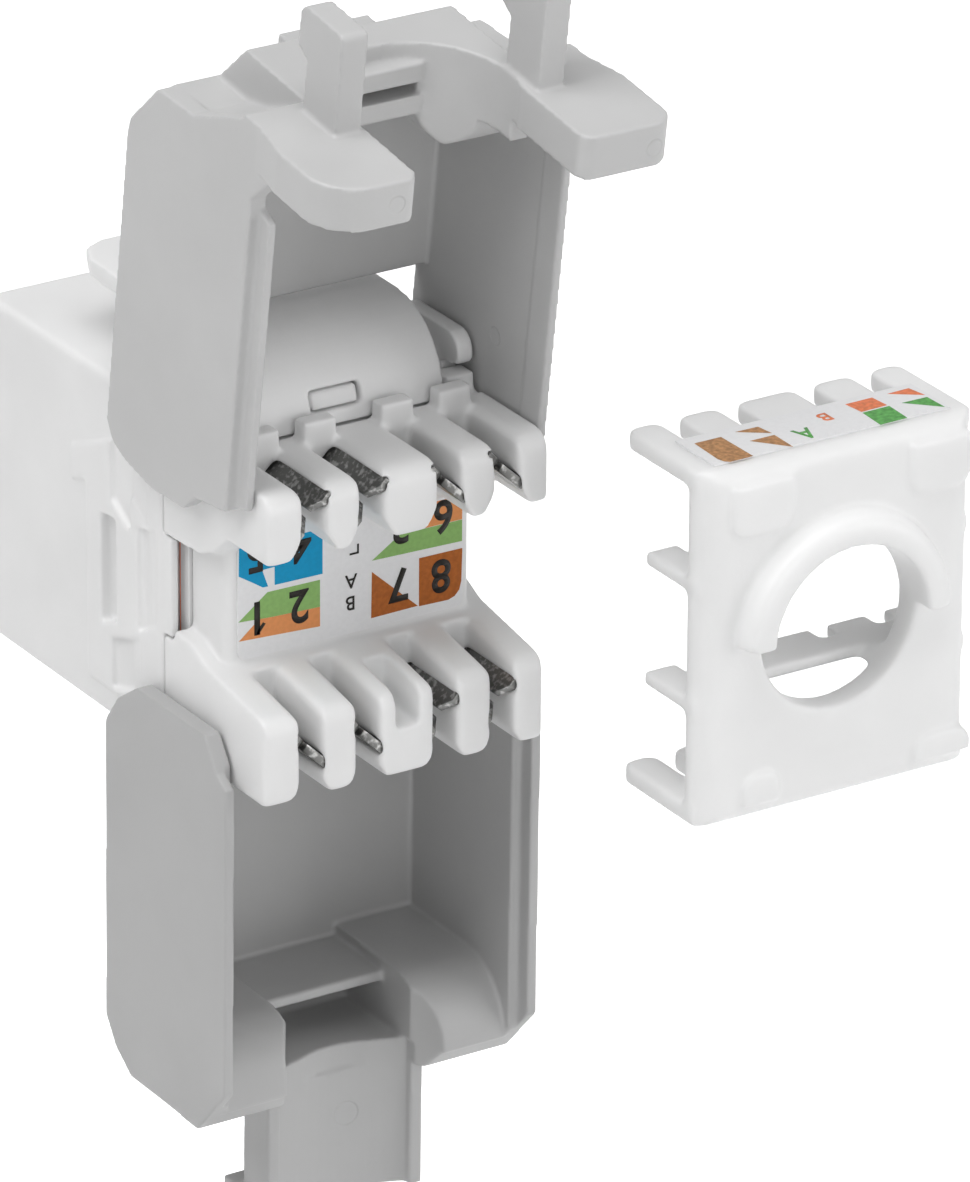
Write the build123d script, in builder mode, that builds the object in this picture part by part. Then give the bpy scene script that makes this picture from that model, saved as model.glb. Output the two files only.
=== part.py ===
from build123d import *
import math
import os

os.makedirs("parts", exist_ok=True)

# A keystone jack, the snap-in socket for a wall plate, with tool-free shells.
# Millimetres. The port face lies at y = 0 and looks along -Y, the wires come in
# from +Y, +Z is up. The middle of the width is x = 0. Both shells are modelled
# swung open and the wire cap is modelled taken off, beside the jack.

# Front housing, the white box with the port.
body_half = 7.25
body_top = 8.6
body_bottom = -8.6
seam_y = 16.75
block_half = 7.45
rail_half = block_half
rail_front = 9.7
rail_top = 6.8
rail_bottom = -7.1
rail_deep = 6.75
rail_shallow = 7.12
rail_dip = 7.28

# Port for the plug, with the two steps for the plug's clip.
port_half = 5.95
port_top = 3.4
port_bottom = -3.4
port_depth = 11.6
clip_wide_half = 3.05
clip_wide_bottom = -4.9
clip_narrow_half = 1.7
clip_narrow_bottom = -6.2
clip_depth = 7.6
spring_bay_half = 4.35
spring_bay_top = 5.35
spring_bay_front = 3.4

# Space behind the port for the contact carrier.
bay_half = 6.2
bay_top = 6.15
bay_bottom = -5.6
carrier_gap = 0.05
carrier_to_board = 0.3

# Hinge axes of the two shells, mirrored about z = 0.
hinge_y = 16.4
hinge_z = 7.9
pin_r = 1.1
pin_length = 0.92
pin_clearance = 0.05
lug_r = 1.95
lug_inner = 6.55

# Hood over the hinge line and the latch lever that grows out of it.
hood_r = 4.1
hood_wall = 0.9
hood_half = 5.4
cheek = 0.8
lever_tip_y = 5.2
lever_tip_z = 12.45
lever_thick = 0.95
lever_corner = 1.6
catch_y = 8.8
catch_length = 2.6
catch_rise = 1.3
catch_half = 3.9
window_left = 1.65
window_right = -1.05
window_low = 8.6
window_high = 9.6
nib_gap = 0.09
ear_inner = 6.6

# Fixed tooth under the body that hooks behind the panel.
tooth_half = 4.2
tooth_front = 8.7
tooth_back = 11.2
tooth_drop = 1.25

# Circuit board between the port contacts and the wire contacts.
board_front = 16.9
board_thick = 0.85
board_half = 6.9
board_half_height = 7.2
board_notch_x = 6.35
board_notch_z = 5.75
board_gap = 0.06
hole_play = 0.06

# Block with the insulation-displacement towers.
neck_half = 6.55
neck_front = 21.05
neck_corner = 0.5
upper_tower_front = 26.35
lower_tower_front = 26.05
tower_edge = 0.35
slot_floor = 21.7
slot_width = 1.2
slot_spots = (4.97, 1.95, -2.18, -5.25)
slot_top_round = 0.5
upper_top = 7.9
upper_low = 4.5
lower_top = -3.4
lower_low = -7.6
lower_shelf_top = -2.5
block_back_top = 7.75
guard_width = 1.8
guard_back = 20.75
guard_front = 21.75
guard_top = 8.9
step_inner = 5.85
step_back = 18.7
step_front = 19.9
step_top = 8.6
middle_notch_left = 0.5
middle_notch_right = -0.75
middle_notch_floor = -5.2

# Wire contacts, flat forks that stand at 45 degrees in the wire slots.
blade_thick = 0.42
blade_half = 1.35
blade_root_half = 0.85
blade_tail_half = 0.42
blade_tip_back = 0.25
blade_shoulder = 21.3
blade_root = 18.0
blade_end = 16.8
blade_slit = 0.34
blade_slit_floor = 22.7
blade_lead = 0.7
blade_play = 0.05
blade_upper_z = 6.4
blade_lower_z = -5.3

# Port contacts, bent from flat strip.
spring_wide = 0.36
spring_high = 0.3
spring_play = 0.05
spring_pitch = 1.02
spring_z = 4.45
spring_nose_y = 4.6
spring_bend = 0.5
spring_tip_y = 11.0
spring_tip_z = 1.5

# Printed labels.
label_thick = 0.1
block_label_half = 6.02
label_corner = 0.4
block_label_low = -2.35
block_label_high = 3.3
cap_label_half = 6.4
cap_label_back = -4.05
cap_label_front = -0.85

# Grey shells. Each is drawn in its own frame: depth from its back face towards
# the wires, and length from the hinge end.
shell_wall = 0.9
shell_play = 0.15
wall_in = block_half + shell_play
shell_half = wall_in + shell_wall
back_wall = 1.1
upper_hinge_depth = 2.7
upper_hinge_length = 1.69
upper_lean = 8.24
lower_hinge_depth = 3.2
lower_hinge_length = 1.19
lower_lean = 0.95
upper_rim = 10.65
lower_rim = 10.95
lip_inner = wall_in - 0.08
lip_outer = wall_in + 0.32
lip_rise = 0.85
lip_end = 16.8
rabbet_play = 0.08
rabbet_depth = 1.0
cable_r = 4.45
upper_cable_depth = 10.9
lower_cable_depth = 10.8
arm_inner = 4.25
arm_low = 19.4
arm_high = 21.6
arm_end = 17.65
near_arm_out = shell_half + 0.4
near_arm_corner = 2.3
far_arm_out = shell_half + 0.62
far_arm_corner = 1.2
post_inner = 4.6
post_outer = 5.95
post_back = 10.35
post_front = 13.1
post_top = 26.6
boss_low = 16.3
trough_half = 4.25
trough_end = 25.3
trough_low = 5.5
trough_high = 7.8
trough_round = 8.05
lower_far = 18.75
lower_far_in = 17.6
lower_back_end = 16.5
lower_slope_depth = 8.5
lower_notch_depth = 10.1

# Wire cap, standing off to the side at the height of the block.
cap_x = -16.7
cap_y = 36.4
cap_z = 0.15
cap_half = 7.45
cap_plate = 1.5
cap_inner_half_height = 7.82
cap_comb = 1.0
cap_back = -6.6
cap_fin_back = -4.9
cap_slot_floor = -4.0
comb_slot = 0.95
comb_inner = 2.07
comb_outer = 5.22
cap_hole_r = 4.15
cap_collar_r = 5.45
cap_collar_rise = 1.3
cap_side_corner = 1.35
cap_edge = 0.8
tooth_round = 0.5

blade_spots = [
    (x, z)
    for z in (blade_upper_z, blade_lower_z)
    for x in slot_spots
]
spring_spots = [spring_pitch * (3.5 - i) for i in range(8)]


def block(x0, x1, y0, y1, z0, z1, mode=Mode.ADD):
    # A box given by its limits.
    with Locations(((x0 + x1) / 2, (y0 + y1) / 2, (z0 + z1) / 2)):
        Box(abs(x1 - x0), abs(y1 - y0), abs(z1 - z0), mode=mode)


def outline(plane, points, rounds=()):
    # A closed outline on a plane, with chosen corners rounded.
    with BuildSketch(plane) as shape:
        with BuildLine():
            Polyline(*points, close=True)
        make_face()
        for corner, radius in rounds:
            fillet(shape.vertices().sort_by_distance(corner)[0], radius)
    return shape.sketch


def disc(plane, radius):
    # A round outline on a plane.
    with BuildSketch(plane) as shape:
        Circle(radius)
    return shape.sketch


def side_slab(points, x0, x1, rounds=(), mode=Mode.ADD):
    # An outline in (y, z) drawn out between two widths.
    plane = Plane(origin=(x0, 0, 0), x_dir=(0, 1, 0), z_dir=(1, 0, 0))
    extrude(outline(plane, points, rounds), amount=x1 - x0, mode=mode)


def flat_slab(points, z0, z1, rounds=(), mode=Mode.ADD):
    # An outline in (x, y) drawn out between two heights.
    plane = Plane(origin=(0, 0, z0), x_dir=(1, 0, 0), z_dir=(0, 0, 1))
    extrude(outline(plane, points, rounds), amount=z1 - z0, mode=mode)


def front_slab(points, y0, y1, rounds=(), mode=Mode.ADD):
    # An outline in (x, z) drawn out rearwards between two depths.
    plane = Plane(origin=(0, y0, 0), x_dir=(1, 0, 0), z_dir=(0, -1, 0))
    extrude(outline(plane, points, rounds), amount=y0 - y1, mode=mode)


def cross_rod(y, z, radius, x0, x1, mode=Mode.ADD):
    # A round rod along the width.
    plane = Plane(origin=(x0, y, z), x_dir=(0, 1, 0), z_dir=(1, 0, 0))
    extrude(disc(plane, radius), amount=x1 - x0, mode=mode)


def rearward_rod(x, z, radius, y0, y1, mode=Mode.ADD):
    # A round rod along the depth.
    plane = Plane(origin=(x, y0, z), x_dir=(1, 0, 0), z_dir=(0, -1, 0))
    extrude(disc(plane, radius), amount=y0 - y1, mode=mode)


def shell_frame(lean, depth, length, up):
    # The frame of a shell: x is its depth, y its length, z the width.
    a = math.radians(lean)
    d_dir = Vector(0, math.cos(a), -math.sin(a))
    l_dir = Vector(0, math.sin(a), math.cos(a)) if up else Vector(0, -math.sin(a), -math.cos(a))
    pivot = Vector(0, hinge_y, hinge_z if up else -hinge_z)
    start = pivot - d_dir * depth - l_dir * length
    return Plane(origin=start, x_dir=d_dir, z_dir=(1, 0, 0) if up else (-1, 0, 0))


def shell_side(frame, points, w0, w1, rounds=(), mode=Mode.ADD):
    # An outline in (depth, length) of a shell drawn out between two widths.
    extrude(outline(frame.offset(w0), points, rounds), amount=w1 - w0, mode=mode)


def shell_level(frame, length):
    # The cross-section plane of a shell: x is the width, y the depth.
    return Plane(
        origin=frame.from_local_coords((0, length, 0)),
        x_dir=frame.z_dir,
        z_dir=frame.y_dir,
    )


def shell_deck(frame, points, l0, l1, rounds=(), mode=Mode.ADD):
    # An outline in (width, depth) of a shell drawn out between two lengths.
    plane = shell_level(frame, l0)
    extrude(outline(plane, points, rounds), amount=l1 - l0, mode=mode)


def shell_hole(frame, depth, radius, l0, l1, mode=Mode.SUBTRACT):
    # A round passage along the length of a shell.
    level = shell_level(frame, l0)
    plane = Plane(origin=level.from_local_coords((0, depth, 0)), x_dir=level.x_dir, z_dir=level.z_dir)
    extrude(disc(plane, radius), amount=l1 - l0, mode=mode)


def shell_front(frame, depth):
    # A plane across the depth of a shell: x is the width, y the length.
    return Plane(
        origin=frame.from_local_coords((depth, 0, 0)), x_dir=frame.z_dir, z_dir=-frame.x_dir
    )


def corner_pieces(plane, corners, radius):
    # The bits outside a rounding, at corners given as (x, y, side, up) of the material.
    with BuildSketch(plane) as shape:
        for x, y, side, up in corners:
            with Locations((x + side * (radius - 0.1) / 2, y + up * (radius - 0.1) / 2)):
                Rectangle(radius + 0.1, radius + 0.1)
        for x, y, side, up in corners:
            with Locations((x + side * radius, y + up * radius)):
                Circle(radius, mode=Mode.SUBTRACT)
    return shape.sketch


def blade_plane(x, z):
    # The plane of a fork contact: its width leans at 45 degrees, mirrored by side.
    c = math.sqrt(0.5)
    s = -c if x * z > 0 else c
    return Plane(origin=(x, 0, z), x_dir=(s, 0, c), z_dir=(-c, 0, s))


def blade_tip(z):
    # The tips stay just inside the front of their row of towers.
    return (upper_tower_front if z > 0 else lower_tower_front) - blade_tip_back


def blade_outline(plane, play, tip, end, slit):
    # The fork outline in (width, y), grown by a play for its pocket.
    head = blade_half + play
    root = blade_root_half + play
    tail = blade_tail_half + play
    points = [
        (-head, blade_shoulder - play),
        (-root, blade_shoulder - play),
        (-root, blade_root - play),
        (-tail, blade_root - play),
        (-tail, end),
        (tail, end),
        (tail, blade_root - play),
        (root, blade_root - play),
        (root, blade_shoulder - play),
        (head, blade_shoulder - play),
        (head, tip),
    ]
    if slit:
        points += [
            (blade_slit / 2 + blade_lead, tip),
            (blade_slit / 2, tip - blade_lead),
            (blade_slit / 2, blade_slit_floor),
            (-blade_slit / 2, blade_slit_floor),
            (-blade_slit / 2, tip - blade_lead),
            (-blade_slit / 2 - blade_lead, tip),
        ]
    points.append((-head, tip))
    return outline(plane, points)


# Front housing with the port, the hinge lugs, the hood and the latch lever.
with BuildPart() as front_housing:
    block(-body_half, body_half, 0, seam_y, body_bottom, body_top)
    fillet(front_housing.edges().filter_by(Axis.Y), 0.35)
    chamfer(front_housing.faces().sort_by(Axis.Y)[0].edges(), 0.25)

    # Raised rails along both sides, just in front of the seam.
    for side in (-1, 1):
        rail = [
            (rail_front, rail_bottom),
            (rail_front, 2.75),
            (rail_front - 1.4, 2.35),
            (rail_front - 1.4, 4.0),
            (rail_front + 2.3, 5.6),
            (rail_front + 2.3, rail_top),
            (seam_y, rail_top),
            (seam_y, rail_bottom),
        ]
        inner = side * (body_half - 0.3)
        outer = side * rail_half
        side_slab(rail, min(inner, outer), max(inner, outer))
        # The tongue that stands past the seam between the two shelves.
        block(min(side * 6.98, outer), max(side * 6.98, outer), seam_y - 0.3, 17.5, -2.3, 2.62)

    # Hinge lugs.
    for z in (hinge_z, -hinge_z):
        for side in (-1, 1):
            x0 = min(side * lug_inner, side * rail_half)
            x1 = max(side * lug_inner, side * rail_half)
            cross_rod(hinge_y, z, lug_r, x0, x1)

    # Port, clip steps, bay for the springs and bay for the carrier.
    block(-port_half, port_half, -1, port_depth, port_bottom, port_top, Mode.SUBTRACT)
    block(-clip_wide_half, clip_wide_half, -1, clip_depth, clip_wide_bottom, 0, Mode.SUBTRACT)
    block(-clip_narrow_half, clip_narrow_half, -1, clip_depth, clip_narrow_bottom, 0, Mode.SUBTRACT)
    block(
        -spring_bay_half, spring_bay_half, spring_bay_front, port_depth, 0, spring_bay_top,
        Mode.SUBTRACT,
    )
    block(-bay_half, bay_half, port_depth, seam_y + 1, bay_bottom, bay_top, Mode.SUBTRACT)

    # Hood: a quarter round shell about the upper hinge line, with two cheeks.
    hood_front = hinge_y - 1.8
    lever = [
        (hinge_y, hinge_z + hood_r),
        (lever_tip_y, lever_tip_z),
        (lever_tip_y, lever_tip_z - 0.5),
        (lever_tip_y + 1.2, lever_tip_z - lever_thick),
        (hinge_y, hinge_z + hood_r - lever_thick),
    ]
    with BuildSketch(Plane(origin=(-hood_half, 0, 0), x_dir=(0, 1, 0), z_dir=(1, 0, 0))):
        with Locations((hinge_y, hinge_z)):
            Circle(hood_r)
            Circle(hood_r - hood_wall, mode=Mode.SUBTRACT)
        with Locations((hinge_y - 5, hinge_z)):
            Rectangle(10, 20, mode=Mode.SUBTRACT)
        with Locations((hinge_y, hinge_z - 5)):
            Rectangle(20, 10, mode=Mode.SUBTRACT)
    extrude(amount=2 * hood_half)
    side_slab(lever, -hood_half, hood_half)
    for side in (-1, 1):
        x0 = min(side * (hood_half - cheek), side * hood_half)
        x1 = max(side * (hood_half - cheek), side * hood_half)
        with BuildSketch(Plane(origin=(x0, 0, 0), x_dir=(0, 1, 0), z_dir=(1, 0, 0))):
            with Locations((hinge_y, hinge_z)):
                Circle(hood_r - 0.1)
            with Locations((hood_front - 5, hinge_z)):
                Rectangle(10, 20, mode=Mode.SUBTRACT)
            with Locations((hinge_y, hinge_z - 5)):
                Rectangle(20, 10, mode=Mode.SUBTRACT)
        extrude(amount=x1 - x0)
    # The rear foot of the cheeks stays clear of the block under them.
    block(-hood_half - 1, hood_half + 1, seam_y, 21, 7.0, hinge_z + 0.02, Mode.SUBTRACT)
    for side in (-1, 1):
        x0 = min(side * lug_inner, side * rail_half)
        x1 = max(side * lug_inner, side * rail_half)
        cross_rod(hinge_y, hinge_z, lug_r, x0, x1)
    # Rounded corners of the lever's free end.
    for side in (-1, 1):
        corner = [
            (side * (hood_half + 1), lever_tip_y - 1),
            (side * (hood_half - lever_corner), lever_tip_y - 1),
            (side * (hood_half - lever_corner), lever_tip_y),
            (side * (hood_half - 0.45), lever_tip_y + 0.5),
            (side * hood_half, lever_tip_y + lever_corner),
            (side * (hood_half + 1), lever_tip_y + lever_corner),
        ]
        flat_slab(corner, 11, 13, mode=Mode.SUBTRACT)
    # The catch on the lever that snaps behind the panel edge.
    catch = [
        (catch_y, 11.9),
        (catch_y + catch_length, 11.9),
        (catch_y + catch_length, 12.2),
        (catch_y + 0.5, 12.3 + catch_rise),
        (catch_y, 12.3 + catch_rise),
    ]
    side_slab(catch, -catch_half, catch_half)
    # The window the block's nib snaps into.
    block(window_right, window_left, 18.6, 21, window_low, window_high, Mode.SUBTRACT)
    # Ears beside the hood.
    for side in (-1, 1):
        ear = [
            (14.9, 8.3),
            (14.9, 10.5),
            (19.75, 10.5),
            (19.75, 9.0),
            (18.2, 8.75),
            (17.4, 8.3),
        ]
        x0 = min(side * ear_inner, side * rail_half)
        x1 = max(side * ear_inner, side * rail_half)
        side_slab(ear, x0, x1, rounds=(((19.75, 10.5), 0.95), ((19.75, 9.0), 0.4)))

    # Fixed tooth under the body.
    tooth = [
        (tooth_front, body_bottom + 0.2),
        (tooth_front, body_bottom - tooth_drop),
        (tooth_front + 0.7, body_bottom - tooth_drop),
        (tooth_back, body_bottom - 0.2),
        (tooth_back, body_bottom + 0.2),
    ]
    side_slab(tooth, -tooth_half, tooth_half)

    # Pockets in the rails: a deep slot, and steps above, below and behind the rib.
    rail_pockets = (
        (rail_deep, [(11.05, -3.95), (11.05, 1.6), (12.45, 1.75), (12.45, -3.45)]),
        (rail_shallow, [(12.0, 2.6), (12.0, 6.5), (13.82, 6.5), (13.82, 1.6)]),
        (rail_dip, [(13.82, 3.4), (13.82, 6.5), (15.4, 6.5), (15.4, 2.4)]),
        (rail_shallow, [(14.45, -3.2), (14.45, 2.0), (15.3, 2.3), (15.3, -2.7)]),
        (rail_dip, [(15.3, -2.7), (15.3, 2.3), (16.15, 2.6), (16.15, -2.3)]),
        (rail_shallow, [(12.0, -6.95), (12.0, -4.4), (13.82, -3.8), (13.82, -6.4)]),
        (rail_dip, [(13.82, -6.4), (13.82, -3.8), (14.6, -3.4), (14.6, -6.1)]),
    )
    for side in (-1, 1):
        out = side * (rail_half + 1)
        for depth, pocket in rail_pockets:
            x0 = min(side * depth, out)
            x1 = max(side * depth, out)
            side_slab(pocket, x0, x1, mode=Mode.SUBTRACT)

    # Bores for the hinge pins.
    for z in (hinge_z, -hinge_z):
        for side in (-1, 1):
            depth = shell_half - shell_wall - pin_length - 0.05
            x0 = min(side * depth, side * 9)
            x1 = max(side * depth, side * 9)
            cross_rod(hinge_y, z, pin_r + pin_clearance, x0, x1, Mode.SUBTRACT)

# Plastic carrier that holds the port contacts in the housing.
with BuildPart() as contact_carrier:
    carrier_back = board_front - carrier_to_board
    block(
        -bay_half + carrier_gap, bay_half - carrier_gap,
        port_depth + carrier_gap, carrier_back,
        bay_bottom + carrier_gap, bay_top - carrier_gap,
    )
    for x in spring_spots:
        # A groove in front lets the tip of the wire move, a hole holds its straight leg.
        block(x - 0.27, x + 0.27, port_depth - 1, port_depth + 1.2, 0.9, 3.2, Mode.SUBTRACT)
        block(
            x - spring_wide / 2 - spring_play, x + spring_wide / 2 + spring_play,
            port_depth - 1, carrier_back + 1,
            spring_z - spring_high / 2 - spring_play, spring_z + spring_high / 2 + spring_play,
            Mode.SUBTRACT,
        )

# Circuit board with plated holes for the contacts.
with BuildPart() as circuit_board:
    block(
        -board_half, board_half, board_front, board_front + board_thick,
        -board_half_height, board_half_height,
    )
    # Notched corners make room for the hinge lugs.
    for side in (-1, 1):
        for z0, z1 in ((board_notch_z, 9), (-9, -board_notch_z)):
            x0 = min(side * board_notch_x, side * 8)
            x1 = max(side * board_notch_x, side * 8)
            block(x0, x1, board_front - 1, board_front + 2, z0, z1, Mode.SUBTRACT)
    board_middle = board_front + board_thick / 2
    for x, z in blade_spots:
        # A plated slot that leans with the tail of its fork.
        slot_plane = blade_plane(x, z).offset(-blade_thick / 2 - hole_play)
        half = blade_tail_half + hole_play
        tail_slot = [
            (-half, board_middle - board_thick),
            (half, board_middle - board_thick),
            (half, board_middle + board_thick),
            (-half, board_middle + board_thick),
        ]
        extrude(
            outline(slot_plane, tail_slot), amount=blade_thick + 2 * hole_play, mode=Mode.SUBTRACT
        )
    for x in spring_spots:
        block(
            x - spring_wide / 2 - hole_play, x + spring_wide / 2 + hole_play,
            board_middle - board_thick, board_middle + board_thick,
            spring_z - spring_high / 2 - hole_play, spring_z + spring_high / 2 + hole_play,
            Mode.SUBTRACT,
        )

# Block with two rows of towers, the wire slots between them and the fork pockets.
with BuildPart() as idc_block:
    shelf_front = seam_y + 0.05
    board_back = board_front + board_thick + board_gap
    upper_side = [
        (shelf_front, 2.68),
        (shelf_front, block_back_top),
        (20.6, block_back_top),
        (20.6, upper_top),
        (upper_tower_front, upper_top),
        (upper_tower_front, upper_low),
        (22.6, upper_low),
        (21.4, 3.45),
        (20.0, 2.85),
    ]
    side_slab(
        upper_side, -block_half, block_half,
        rounds=(((upper_tower_front, upper_top), 1.1), ((upper_tower_front, upper_low), 0.3)),
    )
    lower_side = [
        (shelf_front, -2.38),
        (17.55, -2.38),
        (17.8, -1.75),
        (19.3, -1.9),
        (20.6, lower_shelf_top),
        (lower_tower_front, lower_top),
        (lower_tower_front, lower_low),
        (shelf_front, lower_low),
    ]
    side_slab(
        lower_side, -block_half, block_half,
        rounds=(
            ((lower_tower_front, lower_top), 1.0),
            ((19.3, -1.9), 0.8),
            ((lower_tower_front, lower_low), 0.5),
        ),
    )
    neck = [
        (-neck_half, board_back), (neck_half, board_back),
        (neck_half, neck_front), (-neck_half, neck_front),
    ]
    flat_slab(
        neck, -3.6, 4.7,
        rounds=(((neck_half, neck_front), neck_corner), ((-neck_half, neck_front), neck_corner)),
    )
    # The pocket for the circuit board.
    block(
        -board_half - board_gap, board_half + board_gap, seam_y - 1, board_back,
        -board_half_height - board_gap, board_half_height + board_gap, Mode.SUBTRACT,
    )
    # Between the shelves the neck is narrower than the shelves.
    for side in (-1, 1):
        x0 = min(side * neck_half, side * 8)
        x1 = max(side * neck_half, side * 8)
        block(x0, x1, seam_y - 1, board_back + 0.3, -1.6, 2.6, Mode.SUBTRACT)
    # Wire slots with rounded mouths, V-shaped at the free ends of the towers.
    half = slot_width / 2
    for row_front, z0, z1 in ((upper_tower_front, upper_low - 1.5, 9), (lower_tower_front, -9, -2.0)):
        edges = [
            (block_half, row_front, -1, -1),
            (-block_half, row_front, 1, -1),
        ]
        for x in slot_spots:
            block(x - half, x + half, slot_floor, row_front + 1, z0, z1, Mode.SUBTRACT)
            edges.append((x + half, row_front, 1, -1))
            edges.append((x - half, row_front, -1, -1))
        cutters = corner_pieces(Plane.XY.offset(z0), edges, tower_edge)
        extrude(cutters, amount=z1 - z0, mode=Mode.SUBTRACT)
    # The top edges of the slots are well rounded. The lower row's tops fall forwards.
    top_edges = [(x + s * half, 0, s, 1) for x in slot_spots for s in (-1, 1)]
    upper_tops = Plane(origin=(0, slot_floor + 0.05, upper_top), x_dir=(1, 0, 0), z_dir=(0, 1, 0))
    extrude(corner_pieces(upper_tops, top_edges, slot_top_round), amount=6, mode=Mode.SUBTRACT)
    fall = Vector(0, lower_tower_front - 20.6, lower_top - lower_shelf_top)
    start = Vector(0, 20.6, lower_shelf_top) + fall * ((slot_floor + 0.05 - 20.6) / fall.Y)
    lower_tops = Plane(origin=start, x_dir=(1, 0, 0), z_dir=fall)
    extrude(corner_pieces(lower_tops, top_edges, slot_top_round), amount=6, mode=Mode.SUBTRACT)
    for x in slot_spots:
        upper_relief = [
            (x - half - 0.7, upper_low - 0.05),
            (x + half + 0.7, upper_low - 0.05),
            (x + half, upper_low + 1.1),
            (x - half, upper_low + 1.1),
        ]
        front_slab(upper_relief, 23.0, upper_tower_front + 1, mode=Mode.SUBTRACT)
        lower_relief = [
            (x - half - 0.5, lower_low - 0.05),
            (x + half + 0.5, lower_low - 0.05),
            (x + half, lower_low + 0.75),
            (x - half, lower_low + 0.75),
        ]
        front_slab(lower_relief, 22.6, lower_tower_front + 1, mode=Mode.SUBTRACT)
    # The notch in the middle tower of the lower row.
    notch = [
        (middle_notch_right, -2.0),
        (middle_notch_left, -2.0),
        (middle_notch_left, middle_notch_floor),
        (middle_notch_right, middle_notch_floor),
    ]
    front_slab(
        notch, 22.9, lower_tower_front + 1, mode=Mode.SUBTRACT,
        rounds=(
            ((middle_notch_left, middle_notch_floor), 0.25),
            ((middle_notch_right, middle_notch_floor), 0.25),
        ),
    )
    # Small guards behind the upper slots, and the nib that snaps into the hood.
    for x in slot_spots:
        block(x - guard_width / 2, x + guard_width / 2, guard_back, guard_front, 7.5, guard_top)
    nib = [
        (18.8, 7.5),
        (19.4, 7.5),
        (19.4, window_low + nib_gap),
        (20.36, window_low + nib_gap),
        (20.1, window_high - nib_gap),
        (18.8, window_high - nib_gap),
    ]
    side_slab(nib, window_right + nib_gap, window_left - nib_gap)
    # Low steps at both ends of the row, under the ears.
    for side in (-1, 1):
        x0 = min(side * step_inner, side * (block_half - 0.05))
        x1 = max(side * step_inner, side * (block_half - 0.05))
        block(x0, x1, step_back, step_front, block_back_top - 0.2, step_top)
    # Pockets for the forks, open towards the board.
    for x, z in blade_spots:
        start = blade_plane(x, z).offset(-blade_thick / 2 - blade_play)
        pocket = blade_outline(start, blade_play, blade_tip(z) + 0.04, board_back - 1, False)
        extrude(pocket, amount=blade_thick + 2 * blade_play, mode=Mode.SUBTRACT)
    # Clearance round the hinge lugs, the ears and the hood.
    for z in (hinge_z, -hinge_z):
        for side in (-1, 1):
            x0 = min(side * (lug_inner - 0.1), side * 9)
            x1 = max(side * (lug_inner - 0.1), side * 9)
            cross_rod(hinge_y, z, lug_r + 0.1, x0, x1, Mode.SUBTRACT)

# Printed label on the neck of the block.
with BuildPart() as block_label:
    field = [
        (-block_label_half, block_label_low),
        (block_label_half, block_label_low),
        (block_label_half, block_label_high),
        (-block_label_half, block_label_high),
    ]
    front_slab(
        field, neck_front, neck_front + label_thick,
        rounds=[(corner, label_corner) for corner in field],
    )

# Eight fork contacts.
idc_contacts = []
for number, (x, z) in enumerate(blade_spots, start=1):
    with BuildPart() as idc_contact:
        start = blade_plane(x, z).offset(-blade_thick / 2)
        extrude(blade_outline(start, 0, blade_tip(z), blade_end, True), amount=blade_thick)
    idc_contact.part.label = f"idc_contact_{number}"
    idc_contacts.append(idc_contact.part)

# Eight port contacts of flat strip: a straight leg, a tight bend and a springy tip.
port_contacts = []
for number, x in enumerate(spring_spots, start=1):
    with BuildPart() as port_contact:
        with BuildLine(Plane(origin=(x, 0, 0), x_dir=(0, 1, 0), z_dir=(1, 0, 0))) as wire_path:
            FilletPolyline(
                (board_front + board_thick + 0.03, spring_z),
                (spring_nose_y - 0.35, spring_z),
                (spring_nose_y - 0.15, spring_z - 2 * spring_bend),
                (spring_tip_y, spring_tip_z),
                radius=spring_bend * 0.8,
            )
        with BuildSketch(Plane(origin=wire_path.line @ 0, x_dir=(1, 0, 0), z_dir=wire_path.line % 0)):
            Rectangle(spring_wide, spring_high)
        sweep(path=wire_path.line)
    port_contact.part.label = f"port_contact_{number}"
    port_contacts.append(port_contact.part)

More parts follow.
